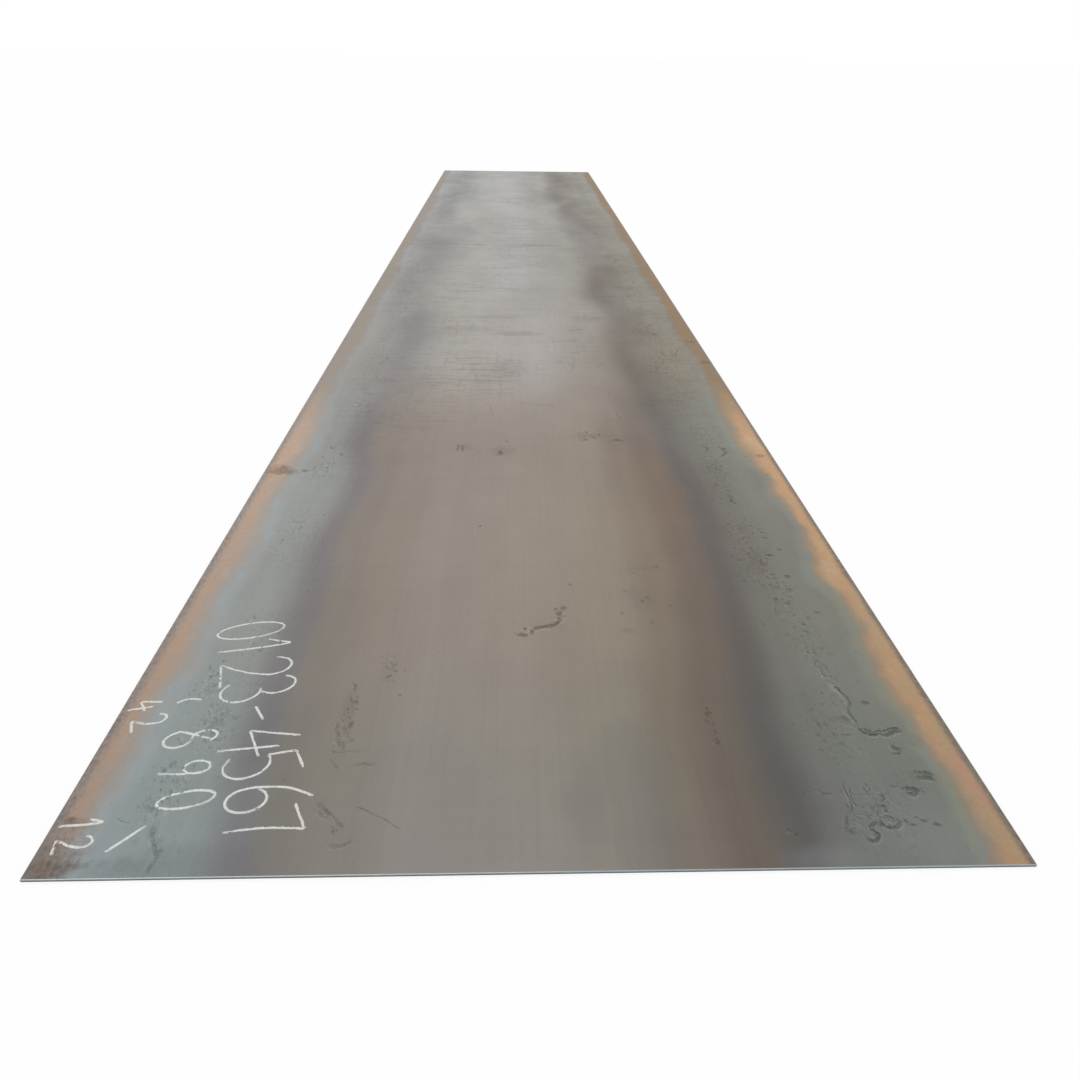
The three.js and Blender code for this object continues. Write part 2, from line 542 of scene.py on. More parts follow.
def steel_finish():
    """Mill scale, rust in from the mill edges, and bare metal on the sheared ends. The flaws'
    attribute "mark" says how much lighter, or darker below 0, the scale is there: its own tone, with
    painted light and shade on the flaws' sides."""
    material, g = new_material("mill_scale_steel")
    x, y, z = g.axes()
    from_near = g.maths("ADD", y, LENGTH / 2)
    mark = g.add("Attribute", attribute_name="mark").outputs["Fac"]

    flaws = scabs(g, x)
    relief = g.noise(240, 170, 3.0, 36.0)
    tint = g.shade(face_colour(g, x, from_near), face_tone(g, from_near))
    flaw_tone = g.remap(relief, 0.38, 0.62, 0.76, 1.10)
    # Painted shade and hue along the plate, darkest at the near end.
    tint = shaded_along(g, g.shade(tint, g.between(g.product(flaws, 0.75), 1.0, flaw_tone)), from_near)
    tint, rust = add_rust(g, tint, x, from_near)
    tint = add_stains(g, tint)
    broken = g.remap(g.noise(420, 300, 3.0, 37.0), 0.3, 0.7, 0.6, 1.4, shape="LINEAR")
    # The marks, painted side light and shade included, lighten or darken the scale.
    tint = g.shade(tint, g.total(g.product(mark, broken), 1.0))

    at_edge = g.remap(g.maths("ABSOLUTE", x), WIDTH / 2 - EDGE_DEPTH, WIDTH / 2 - EDGE_DEPTH / 2)
    at_end = g.remap(g.maths("ABSOLUTE", y), LENGTH / 2 - END_DEPTH, LENGTH / 2 - END_DEPTH * 0.8)
    end_tint, end_roughness = end_finish(g, y, z)
    tint = g.blend(at_edge, tint, edge_colour(g))
    tint = g.blend(at_end, tint, end_tint)

    crust = g.most(flaws, g.remap(mark, -0.03, -0.3))
    gloss = g.remap(g.noise(3.5, 1.4, 4.0, 61.0), 0.3, 0.7, 0.34, 0.46)
    fine_gloss = g.stray(g.noise(260, 40, 2.0, 62.0), 0.04)
    roughness = g.between(g.most(rust, at_edge), g.total(gloss, fine_gloss), RUST_ROUGHNESS)
    roughness = g.between(crust, roughness, CRUST_ROUGHNESS)
    roughness = g.between(at_end, roughness, end_roughness)
    metal = g.remap(g.most(rust, at_edge), 0.0, 1.0, SCALE_METAL, 0.0)
    metal = g.between(at_end, metal, END_METAL)

    # Heights in millimetres.
    grain = g.product(g.noise(900, 700, 3.0, 71.0), 0.03)
    rolled = g.product(g.noise(60, 6, 2.0, 72.0), 0.05)
    lifted = g.product(crust, relief, 0.22)
    crumbs = g.remap(g.maths("ABSOLUTE", x), *CRUMBLY)
    crumbs = g.product(crumbs, g.noise(500, 400, 3.0, 73.0), 0.08)
    height = g.total(grain, rolled, lifted, crumbs)
    g.surface(tint, roughness, metal, specular=0.5, height=height)
    return material


def chalk_finish():
    """Dry powder, mottled between two whites."""
    material, g = new_material("chalk")
    tint = g.blend(g.remap(g.noise(260, 260, 4.0, 81.0), 0.35, 0.65), colour("c8c9c5"), colour("e0e0dc"))
    height = g.product(g.noise(1400, 1400, 3.0, 82.0), 0.06)
    roughness = g.remap(g.noise(260, 260, 2.0, 83.0), 0.3, 0.7, 0.88, 0.98)
    g.surface(tint, roughness, metal=0.0, specular=0.3, height=height)
    return material


# ---- small solids on the top face ----

# How deep the small solids' feet go.
SUNK = 0.00002
# How far inside the outline the face is flat.
FLAT_INSET = 0.0014
# The way away from the light, to which every flaw turns its painted shaded side.
AWAY = Vector((0.57, 0.82))
# The turn from X that lies along the plate.
ALONG = math.pi / 2
# Profiles, from rim to rim or from rim to middle: (half widths or radii from the middle, share of
# the height, share of the mark, how far that part of the surface leans outwards, which sets its painted
# light or shade).
RIM = (0.0, 0.0, 0.0)
RIDGE = (
    (-1.0, *RIM),
    (-0.65, 0.5, 0.2, -0.9),
    (-0.05, 0.9, 0.2, -1.0),
    (0.2, 1.0, 0.5, -0.1),
    (0.4, 0.9, 1.0, 0.9),
    (0.75, 0.5, 1.0, 0.9),
    (1.0, *RIM),
)
# The worm's outer rim on the light's side is painted lighter, as a highlight.
WORM = (
    (-1.9, *RIM),
    (-1.45, 0.3, -0.55, -0.3),
    (-1.0, 0.5, -0.1, -0.3),
    (-0.65, 0.8, 0.9, -0.4),
    (-0.1, 1.0, 0.8, -0.2),
    (0.3, 1.0, 0.9, 0.2),
    (0.65, 0.7, 1.0, 0.7),
    (1.0, *RIM),
)
BLISTER = ((1.0, *RIM), (0.68, 0.6, 0.5, 1.0), (0.36, 0.9, 1.0, 0.5), (0.08, 1.0, 1.0, 0.0))
FLAKE = ((1.0, 0.0, 1.0, 0.0), (0.75, 1.0, 1.0, 0.0))
FLAKE_HEIGHT = 0.00009
BLISTER_HEIGHT = 0.00008
RIDGE_HEIGHT = 0.00007
# Spreads: of heights and of a ragged outline's radii, as shares, and of its corners, in steps.
HEIGHTS = (0.6, 1.4)
RADII = (0.65, 1.15)
CORNERS = (-0.3, 0.3)
# How far a ridge and a ribbon reach, in half widths, and over how many points a ridge tapers.
RIDGE_REACH = 1.4
RIBBON_REACH = 1.5
TAPER_POINTS = 3
# Shares of a ridge's height, and of a ribbon's at its start and end and of its half width.
RIDGE_HEIGHTS = (0.8, 1.2)
RIBBON_STARTS = (0.6, 0.9)
RIBBON_ENDS = (1.1, 1.4)
RIBBON_EDGES = (0.7, 1.25)


def on_flat(x, y, reach):
    """Whether a mark that reaches so far from its middle stays on the flat of the face."""
    inset = FLAT_INSET + reach
    return abs(x) < WIDTH / 2 - inset and abs(y) < LENGTH / 2 - inset


def left_of(path, i):
    """The unit vector to the left of a path of (x, y) points at one of them."""
    heading = path[min(i + 1, len(path) - 1)] - path[max(i - 1, 0)]
    return Vector((-heading.y, heading.x)).normalized()


class Scatter:
    """Gathers small closed solids that sit on the top face, and joins them in one piece. Each
    point has a mark, which tells the steel's material how much lighter or darker it is there: its own
    tone, with painted light and shade on the sides of the flaws."""

    def __init__(self, rng):
        self.points = []
        self.marks = []
        self.faces = []
        self.rng = rng

    def skin(self, rings):
        """A closed solid through rings of (x, y, rise, mark) points."""
        first, sides = len(self.points), len(rings[0])
        for ring in rings:
            self.points += [(x, y, TOP + rise) for x, y, rise, _ in ring]
            self.marks += [mark for _, _, _, mark in ring]
        last = first + sides * (len(rings) - 1)
        for start in range(first, last, sides):
            for i in range(sides):
                j = (i + 1) % sides
                self.faces.append((start + i, start + j, start + sides + j, start + sides + i))
        self.faces.append(tuple(reversed(range(first, first + sides))))
        self.faces.append(tuple(range(last, last + sides)))

    def outline(self, radius, slim, turn, sides):
        """A ragged ring about (0, 0). slim above 1 draws it out along its turn from X."""
        ring = []
        for i in range(sides):
            angle = math.tau * (i + self.rng.uniform(*CORNERS)) / sides
            reach = radius * self.rng.uniform(*RADII)
            place = Vector((reach * slim * math.cos(angle), reach * math.sin(angle)))
            place.rotate(Matrix.Rotation(turn, 2))
            ring.append(place)
        return ring

    def lump(self, profile, x, y, radius, mark, relief, height, slim, turn, sides):
        """A lump with a ragged outline. relief is how far its painted lit and shaded sides differ."""
        if not on_flat(x, y, RADII[1] * radius * slim):
            return
        outline = self.outline(radius, slim, turn, sides)
        height *= self.rng.uniform(*HEIGHTS)
        rings = []
        for share, rise, depth, lean in profile:
            ring = []
            for place in outline:
                # Its own mark, with painted light on the side towards the light and painted shade away from
                # it.
                tone = mark * depth - relief * lean * place.normalized().dot(AWAY)
                ring.append((x + share * place.x, y + share * place.y, height * rise or -SUNK, tone))
            rings.append(ring)
        self.skin(rings)

    def flake(self, x, y, radius, mark, height=FLAKE_HEIGHT, slim=1.0, turn=0.0, sides=6):
        """A loose flake with a sharp rim."""
        self.lump(FLAKE, x, y, radius, mark, 0.0, height, slim, turn, sides)

    def blister(self, x, y, radius, mark, relief, slim=1.0, turn=0.0, sides=9):
        """A low swelling whose rim fades into the face, with painted lit and shaded sides."""
        self.lump(BLISTER, x, y, radius, mark, relief, BLISTER_HEIGHT, slim, turn, sides)

    def wave(self, i, rate, phase, spread):
        """A share about 0.9 that rises and falls along a line, with a jump at each point."""
        return 0.9 + 0.15 * math.sin(rate * i + phase) + self.rng.uniform(-spread, spread)

    def ridge(self, path, half_width, mark, relief, profile):
        """A raised line along a path of (x, y) points, which swells and fades along the way. It
        climbs from end to end, so that where lines cross no two faces share a plane."""
        path = [place for place in path if on_flat(*place, RIDGE_REACH * half_width)]
        count = len(path)
        if count < 4:
            return
        facing = 1 if left_of([path[0], path[-1]], 0).dot(AWAY) >= 0 else -1
        height = RIDGE_HEIGHT * self.rng.uniform(*RIDGE_HEIGHTS)
        phases = [self.rng.uniform(0, math.tau) for _ in range(2)]
        rings = []
        for i, place in enumerate(path):
            side = facing * left_of(path, i)
            taper = min(1.0, (i + 0.4) / TAPER_POINTS, (count - i - 0.6) / TAPER_POINTS)
            swell = self.wave(i, 0.5, phases[0], 0.25)
            fade = self.wave(i, 0.33, phases[1], 0.3)
            ring = []
            for aside, rise, depth, lean in profile:
                edge = place + side * half_width * aside * swell * (0.4 + 0.6 * taper)
                # Its own mark, with painted light on the side towards the light and painted shade away from
                # it.
                tone = taper * fade * (mark * depth - relief * lean * side.dot(AWAY))
                level = height * rise * (0.8 + 0.6 * i / count) or -SUNK
                ring.append((edge.x, edge.y, level, tone))
            rings.append(ring)
        self.skin(rings)

    def ribbon(self, path, half_width, height):
        """A ragged flat ribbon, which climbs along the way for the same reason."""
        path = [place for place in path if on_flat(*place, RIBBON_REACH * half_width)]
        if len(path) < 2:
            return
        start_level = height * self.rng.uniform(*RIBBON_STARTS)
        end_level = height * self.rng.uniform(*RIBBON_ENDS)
        rings = []
        for i, place in enumerate(path):
            share = i / (len(path) - 1)
            taper = min(1.0, 0.5 + 5 * share, 0.4 + 2.2 * (1 - share))
            level = start_level + (end_level - start_level) * share
            ring = []
            for sign, rise in ((1, -SUNK), (-1, -SUNK), (-1, level), (1, level)):
                reach = half_width * taper * self.rng.uniform(*RIBBON_EDGES)
                edge = place + left_of(path, i) * reach * sign
                ring.append((edge.x, edge.y, rise, 0.0))
            rings.append(ring)
        self.skin(rings)

    def piece(self, name, material):
        """The joined piece, riding on the plate."""
        mesh = bpy.data.meshes.new(name)
        mesh.from_pydata(self.points, [], self.faces)
        mesh.attributes.new("mark", "FLOAT", "POINT").data.foreach_set("value", self.marks)
        tidy = bmesh.new()
        tidy.from_mesh(mesh)
        bmesh.ops.recalc_face_normals(tidy, faces=tidy.faces)
        tidy.to_mesh(mesh)
        tidy.free()
        mesh.materials.append(material)
        made = add_object(name, mesh)
        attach(made, "root")


def smooth_path(points, step):
    """Points one step apart on a Catmull-Rom curve through the given ones."""
    points = [Vector(p) for p in points]
    path = []
    ends = [points[0], *points, points[-1]]
    for before, start, end, after in zip(ends, ends[1:], ends[2:], ends[3:]):
        count = max(1, round((end - start).length / step))
        for k in range(count):
            t = k / count
            place = 0.5 * (
                2 * start
                + (end - before) * t
                + (2 * before - 5 * start + 4 * end - after) * t**2
                + (3 * start - before - 3 * end + after) * t**3
            )
            path.append(place)
    return path + [points[-1]]


def face_path(points, step):
    """A smooth path in X and Y from points given as (x, from the near end)."""
    return smooth_path([(x, low.y + from_near) for x, from_near in points], step)


def listed_path(row, step):
    """The same from a table's row of x, from the near end, x, from the near end and so on."""
    lengths = metres(row)
    return face_path(zip(lengths[::2], lengths[1::2]), step)


# ---- chalk ----

ARC_STEPS = 12


def dots(*lengths):
    """(right, up) points from right, up, right, up and so on in hundredths."""
    return [(right / 100, up / 100) for right, up in zip(lengths[::2], lengths[1::2])]


def arc(x, y, across, up, start, end):
    """Points on an ellipse about (x, y), likewise, from one angle to another in degrees."""
    (x, y), (across, up) = dots(x, y, across, up)
    turns = [math.radians(start + (end - start) * i / ARC_STEPS) for i in range(ARC_STEPS + 1)]
    return [(x + across * math.cos(turn), y + up * math.sin(turn)) for turn in turns]


# Strokes of the plain figures, in hundredths of their height.
FIGURES = {
    "0": (arc(30, 50, 24, 50, 70, 445),),
    "1": (dots(10, 72, 22, 87, 33, 100, 30, 50, 22, 0),),
    "2": (arc(28, 74, 24, 26, 165, -25) + dots(34, 36, 2, 3), dots(2, 3, 66, 0)),
    "3": (arc(26, 76, 22, 24, 150, -80), arc(24, 27, 27, 27, 85, -150)),
    "4": (dots(34, 98, 18, 66, 3, 36), dots(3, 36, 66, 43), dots(50, 70, 38, -6)),
    "5": (dots(60, 98, 18, 93), dots(18, 93, 11, 57), arc(22, 29, 29, 30, 110, -140)),
    "6": (dots(48, 100, 22, 74, 9, 42) + arc(30, 24, 23, 24, 175, 500),),
    "7": (dots(2, 88, 60, 95), dots(60, 95, 36, 46, 22, -4)),
    "8": (arc(33, 76, 20, 24, 20, 235) + arc(28, 27, 26, 27, 75, -200) + dots(50, 92),),
    "9": (arc(30, 72, 22, 26, 20, 380) + dots(48, 40, 36, -4),),
    "-": (dots(8, 46, 46, 54),),
}
# Rows of figures: (text, slope in degrees, then in millimetres the start's x and distance from the
# near end, the figures' height and their step).
ROWS = (
    ("0123-4567", 18.5, -655, 605, 130, 66.5),
    ("890", 16.0, -650, 290, 88, 70),
    ("42", 24.0, -742, 370, 62, 50),
    ("12", 15.0, -742, 105, 58, 37),
)
# Loose strokes, in millimetres: the x and the distance from the near end of each point.
CHALK_TICKS = ((-648, 46, -628, 68, -606, 94), (-656, 372, -640, 382, -614, 381))
FIGURE_WIDTH = 0.8
# How the hand strays: in the figures' sizes and lean, in the stick's path and where it breaks off.
FIGURE_SIZES = (0.92, 1.08)
FIGURE_LEANS = (-0.04, 0.12)
CHALK_SHAKE = 0.00015
BROKEN_WIDTHS = (0.6, 1.3)
CHALK_STEP = 0.0022
# The stick's tracks: (how far beside the middle of the stroke, half width, chance of a gap).
CHALK_TRACKS = ((-0.0019, 0.0005, 0.08), (0.0, 0.0014, 0.001), (0.0019, 0.0005, 0.08))
CHALK_HEIGHT = 0.00007
DUST_SPREAD = 0.003
DUST_RADII = (0.0002, 0.0005)
DUST_HEIGHT = 0.00005


def chalk_track(chalk, path, aside, half_width, skip):
    """One track of the stick beside the path, with gaps where it skips."""
    run = []
    for i, place in enumerate(path):
        if chalk.rng.random() < skip:
            chalk.ribbon(run, half_width * chalk.rng.uniform(*BROKEN_WIDTHS), CHALK_HEIGHT)
            run = []
        else:
            run.append(place + left_of(path, i) * (aside + chalk.rng.gauss(0, CHALK_SHAKE)))
    chalk.ribbon(run, half_width, CHALK_HEIGHT)


def chalk_stroke(chalk, path):
    """A stroke of the stick, with the dust that it leaves beside it."""
    for aside, half_width, skip in CHALK_TRACKS:
        chalk_track(chalk, path, aside, half_width, skip)
    for place in path:
        x = place.x + chalk.rng.gauss(0, DUST_SPREAD)
        y = place.y + chalk.rng.gauss(0, DUST_SPREAD)
        chalk.flake(x, y, chalk.rng.uniform(*DUST_RADII), 0.0, height=DUST_HEIGHT, sides=4)


def add_chalk():
    """Plain figures in a quick hand, read towards the near end."""
    rng = random.Random(5)
    chalk = Scatter(rng)
    for text, slope, *lengths in ROWS:
        x, from_near, height, advance = metres(lengths)
        angle = math.radians(slope)
        right = Vector((math.sin(angle), -math.cos(angle)))
        up = Vector((math.cos(angle), math.sin(angle)))
        start = Vector((x, low.y + from_near))
        for figure in text:
            size = height * rng.uniform(*FIGURE_SIZES)
            lean = rng.uniform(*FIGURE_LEANS)
            for stroke in FIGURES[figure]:
                leant = [(FIGURE_WIDTH * a + lean * b, b) for a, b in stroke]
                points = [start + size * (a * right + b * up) for a, b in leant]
                chalk_stroke(chalk, smooth_path(points, CHALK_STEP))
            start = start + right * advance
    for row in CHALK_TICKS:
        chalk_stroke(chalk, listed_path(row, CHALK_STEP))
    chalk.piece("chalk_figures", chalk_finish())


# ---- flaws in the scale ----

# Lines: (half width, mark and relief in hundredths, then the x and the distance from the near end of
# each point). relief is how far the painted lit and shaded sides differ. Seams are slivers that were
# rolled in, with a painted bright side and a dark side that is in part painted shade.
SEAMS = (
    (8.8, -14, 42, 574, 414, 577, 400, 584, 384, 588, 367, 587, 352, 580, 341, 577, 330, 580, 317, 584, 301),
    (6.2, -13, 38, 563, 488, 561, 470, 568, 455, 566, 440, 573, 424),
    (5, -6, 28, 541, 690, 538, 675, 533, 655, 531, 640),
    (4, -10, 18, 434, 139, 460, 147, 475, 138, 490, 138),
    (4, -6, 22, 500, 98, 518, 96, 537, 92, 546, 92),
    (3.5, -12, 11, 500, 138, 517, 137, 540, 137, 563, 135),
    (5, -24, 44, 511, 168, 507, 150, 509, 127, 505, 109, 497, 99),
    (4.4, -20, 38, 519, 158, 514, 142, 512, 124, 517, 110),
    (3.5, -7, 14, 558, 174, 557, 155, 560, 137),
    (4, -26, 5, -290, 126, -275, 118, -258, 108, -238, 97, -212, 78),
    (3.5, -6, 9, 296, 67, 318, 110, 330, 190, 340, 270, 346, 340),
    (5, -12, 25, -594, 1414, -586, 1398, -576, 1380),
    (5, -10, 22, 545, 740, 553, 745, 560, 738),
    (5, -10, 22, 537, 712, 545, 716, 553, 709),
    (6, -6, 30, 563, 545, 560, 530, 563, 512),
    (4, -14, 10, -660, 110, -648, 101, -630, 97),
    (3, -14, 12, -620, 136, -606, 118, -596, 102),
    (3, -12, 12, -632, 140, -620, 124, -612, 110),
)
# Worms are lines of broken scale, dark and lumpy, with a painted highlight along the side
# towards the light.
WORMS = (
    (4.2, -26, 10, -594, 92, -590, 76, -582, 60, -574, 46, -568, 34, -571, 20, -573, 6),
    (3.6, -24, 10, -566, 54, -567, 44, -571, 36),
    (6.8, -50, 34, 66, 655, 62, 636, 58, 616, 48, 604, 30, 598, 15, 594, 5, 590),
    (5.6, -50, 34, 1, 592, 1, 582, 0, 570),
    (4.6, -52, 32, 585, 294, 586, 284, 591, 278, 600, 274, 609, 273, 616, 276, 622, 273, 631, 273, 639, 277,
        648, 281, 661, 280),
    (4.2, -50, 30, 588, 288, 596, 287, 603, 283, 607, 280, 617, 281, 625, 282, 636, 285, 645, 288, 655, 288,
        661, 285),
    (3.8, -24, 26, 496, 100, 491, 89, 487, 77, 484, 64),
    (3.4, -30, 22, 484, 63, 492, 60, 501, 61),
    (4.2, -24, 18, 460, 149, 469, 143, 478, 139, 488, 140),
    (4.4, -26, 12, -352, 134, -341, 124, -329, 113, -317, 102, -308, 91, -301, 84),
    (4, -22, 12, -345, 118, -338, 108, -326, 103),
    (4.6, -24, 10, -320, 55, -307, 50, -293, 53, -282, 61),
    (4, -22, 10, -349, 322, -352, 302, -347, 284, -341, 266, -335, 254),
    (3.4, -18, 10, -352, 248, -338, 243, -322, 246, -308, 245, -296, 241),
    (3.8, -18, 10, -302, 210, -291, 218, -279, 214, -270, 215),
    (3.4, -20, 10, -347, 226, -340, 216, -332, 206),
    (4.2, -46, 28, 541, 87, 534, 81, 526, 75, 523, 69, 528, 64, 531, 58, 528, 52, 521, 47, 514, 47, 510, 53,
        508, 58),
    (4.4, -50, 30, 543, 88, 545, 78, 551, 72, 561, 71, 570, 76, 575, 84, 573, 90),
    (3.6, -36, 24, 543, 87, 549, 93, 557, 94, 565, 90, 567, 83),
    (4.2, -44, 30, 568, 138, 570, 131, 565, 127, 561, 122),
    (3.8, -40, 28, 549, 119, 547, 112, 549, 106, 546, 98, 544, 90),
    (2.8, -24, 20, 582, 153, 592, 154, 604, 153),
    (5.4, -54, 32, 602, 151, 614, 150, 624, 148, 635, 145),
    (5.4, -52, 32, 608, 141, 617, 138, 627, 141, 634, 147),
    (6, -38, 27, 637, 186, 648, 184, 660, 182, 674, 177),
    (6, -40, 27, 639, 172, 650, 173, 661, 172, 672, 166),
    (6.2, -38, 27, 628, 250, 632, 238, 645, 240),
    (4.5, -35, 25, 618, 230, 630, 227, 640, 234),
    (4, -27, 15, 531, 263, 534, 272, 536, 286),
    (4.5, -24, 15, 546, 276, 557, 273, 568, 275),
    (6, -35, 25, 552, 1520, 560, 1500, 556, 1486),
    (6, -32, 25, 592, 1445, 604, 1462, 618, 1482),
    (6, -35, 27, 545, 1205, 558, 1185, 556, 1160, 568, 1140),
    (5, -35, 25, -208, 1535, -206, 1510, -210, 1485),
    (5, -32, 25, -192, 1530, -194, 1505, -190, 1482),
)
# Swellings: (x, from the near end, half extent across and along, mark in hundredths).
BLISTERS = (
    (567, 135, 6, 5, -40), (559, 114, 7, 5, -42), (559, 103, 7, 4, -34), (525, 58, 4, 3, -34),
    (521, 53, 4, 3, 16), (558, 83, 8, 6, 8), (488, 64, 8, 7, -20), (503, 144, 6, 8, -12),
    (529, 92, 8, 3, -18), (546, 936, 7, 8, 14), (581, 880, 14, 11, -24), (615, 905, 10, 7, -22),
    (592, 962, 11, 10, -17), (600, 987, 12, 8, -14), (568, 795, 9, 6, -26), (567, 780, 9, 5, -25),
    (600, 786, 11, 12, -29), (588, 731, 14, 14, -20), (579, 706, 8, 6, -26), (570, 677, 14, 8, -23),
    (622, 643, 14, 6, -20), (581, 600, 8, 8, -22), (577, 575, 11, 9, -14), (562, 838, 10, 12, -19),
    (571, 866, 9, 8, -20), (548, 852, 8, 10, -16), (506, 858, 7, 12, -13), (532, 885, 8, 9, -15),
    (519, 905, 6, 8, -12), (542, 906, 7, 7, 10), (556, 812, 7, 7, -14), (565, 560, 8, 6, -19),
    (590, 519, 11, 5, -15), (565, 308, 24, 17, -5), (622, 356, 9, 8, -29), (567, 237, 8, 7, -6),
    (497, 237, 9, 7, -10), (583, 83, 6, 6, -30), (592, 76, 9, 5, -36), (603, 90, 6, 4, -30),
    (613, 83, 9, 6, -28), (630, 76, 11, 5, -36), (506, 80, 16, 14, 7), (470, 140, 6, 5, -19),
    (91, 752, 5, 14, -12), (305, 671, 6, 6, -19), (240, 805, 12, 6, -14), (296, 831, 14, 8, -14),
    (-123, 1024, 8, 8, -36), (-132, 1010, 6, 8, 10), (-59, 1552, 10, 12, -14), (-78, 1466, 14, 22, -22),
    (-638, 1343, 14, 14, -27), (-590, 1500, 12, 16, -15), (-552, 1454, 9, 16, -20), (188, 1568, 12, 10, -29),
    (286, 1567, 20, 9, -24), (610, 1500, 13, 11, -27), (535, 1257, 8, 14, -19), (544, 1010, 14, 10, -15),
    (500, 1020, 12, 6, 6), (317, 326, 8, 14, -14), (402, 60, 5, 5, -20), (-338, 405, 6, 20, -17),
    (-316, 76, 7, 9, -14), (-727, 107, 8, 6, -20), (55, 661, 7, 7, -34), (69, 664, 12, 11, -30),
    (60, 641, 11, 13, -30), (55, 623, 6, 7, 22), (48, 604, 9, 7, -32), (-13, 591, 6, 7, -38),
    (-21, 569, 18, 8, -38), (-1, 595, 6, 4, 22),
)
# Bumps shown only by the painted light and shade of their sides: the same without a mark.
BUMPS = (
    (570, 475, 8, 12), (567, 446, 8, 8), (585, 421, 7, 8), (594, 431, 6, 7), (560, 505, 6, 8),
    (566, 466, 7, 6), (573, 430, 8, 7), (580, 410, 7, 7), (392, 66, 7, 7),
)
# How far the painted lit and shaded sides of blisters and bumps differ.
BLISTER_SIDE_SHADING = 0.22
BUMP_SIDE_SHADING = 0.34
# Clouds of small blisters: (x, from the near end, half extent across and along, their count).
CLOUDS = (
    (545, 860, 46, 80, 150), (565, 700, 34, 110, 80), (570, 480, 22, 80, 60), (550, 1360, 32, 70, 60),
    (560, 1170, 24, 50, 36), (550, 1000, 46, 50, 50), (570, 1530, 60, 70, 60), (520, 240, 45, 60, 40),
    (555, 120, 40, 40, 40), (-612, 420, 24, 50, 60), (-575, 320, 34, 70, 90), (-590, 190, 40, 60, 50),
    (-612, 125, 22, 26, 40), (-560, 560, 50, 80, 50), (-590, 1020, 40, 100, 30), (-590, 1400, 40, 100, 40),
    (-695, 1340, 30, 40, 60), (712, 1450, 16, 16, 20), (-720, 50, 20, 45, 50), (190, 1595, 45, 35, 60),
    (-336, 330, 14, 90, 60), (240, 720, 70, 120, 18), (320, 300, 12, 60, 20), (-275, 450, 20, 60, 30),
)
LINE_STEP = 0.0028
FAR_STEP = 0.004
# The crumbs and beads along a worm: their number to a step, spread in half widths, and tones.
STREWN_PER_STEP = 1.4
STREWN_SPREAD = 0.8
STREWN_TONES = (0.5, 0.8, -0.7)
CRUMB_RADII = (0.0006, 0.0020)
BEAD_RADII = (0.0014, 0.0032)
BEAD_TONE = 0.6
# A swelling's blister in its half extents, which makes up for the ragged rim, and the lumps on it.
SWELLING_SIZE = 1.1
LUMPS = 3
LUMP_SIZES = (0.3, 0.6)
# How much stronger the lumps' painted side light and shade is than the swelling's.
LUMP_SIDE_SHADING = 1.4
# A cloud's blisters: their spread in its half extents, and (middle, spread) of their turns and marks.
CLOUD_SPREAD = 0.5
CLOUD_RADII = (0.0018, 0.0066)
CLOUD_SLIM = (1.0, 3.0)
CLOUD_TURN = (1.5, 0.3)
CLOUD_MARK = (-0.07, 0.09)
# How far the cloud blisters' painted lit and shaded sides differ.
CLOUD_SIDE_SHADING = 0.17
# What is strewn at random: lines and clouds beyond FAR_FROM, the rest all along.
FAR_FROM = 1.7
FAR_WORMS = 70
FAR_SEAMS = 60
FAR_CLOUDS = 34
LONE_BLISTERS = 500
SPECKS = 2600
# The share of the specks that lie in the margins, and their marks and length to width.
SPECKS_ASIDE = 0.65
SPECK_MARKS = (-0.30, -0.22, -0.16, 0.10)
SPECK_SLIM = 1.4
# The far lines' least length, their bends, and the spread of a bend's turn.
SHORTEST = 0.03
BENDS = 4
CROOK = 0.5
# How near the ends all that goes.
LINES_KEEP = 0.05
CLOUDS_KEEP = 0.1
BITS_KEEP = 0.01


def worm(flaws, path, half_width, mark, relief):
    """A line of broken scale, with crumbs and small blisters strewn along it."""
    rng = flaws.rng
    flaws.ridge(path, half_width, mark, relief, WORM)
    for i in range(round(STREWN_PER_STEP * len(path))):
        place = rng.choice(path)
        place = place + half_width * Vector((rng.gauss(0, STREWN_SPREAD), rng.gauss(0, STREWN_SPREAD)))
        tone = rng.choice(STREWN_TONES) * mark
        if i % 2:
            flaws.flake(*place, rng.uniform(*CRUMB_RADII), tone)
        else:
            flaws.blister(*place, rng.uniform(*BEAD_RADII), BEAD_TONE * tone, relief)


def swelling(flaws, x, from_near, half_across, half_along, mark, relief):
    """An uneven swelling: a blister, and smaller ones on and against it."""
    rng = flaws.rng
    y = low.y + from_near
    slim = half_along / half_across
    flaws.blister(x, y, SWELLING_SIZE * half_across, mark, relief, slim, ALONG)
    for _ in range(LUMPS):
        aside = x + rng.uniform(-1, 1) * half_across
        ahead = y + rng.uniform(-1, 1) * half_along
        size = rng.uniform(*LUMP_SIZES)
        sharper_shading = LUMP_SIDE_SHADING * relief
        flaws.blister(aside, ahead, size * half_across, size * mark, sharper_shading, slim, ALONG)


def cloud(flaws, x, from_near, across_reach, along_reach, count):
    """Small long blisters strewn over an ellipse, denser towards its middle."""
    rng = flaws.rng
    for _ in range(count):
        aside = x + rng.gauss(0, CLOUD_SPREAD) * across_reach
        ahead = low.y + from_near + rng.gauss(0, CLOUD_SPREAD) * along_reach
        radius, slim = rng.uniform(*CLOUD_RADII), rng.uniform(*CLOUD_SLIM)
        mark, turn = rng.gauss(*CLOUD_MARK), rng.gauss(*CLOUD_TURN)
        flaws.blister(aside, ahead, radius, mark, CLOUD_SIDE_SHADING, slim, turn)


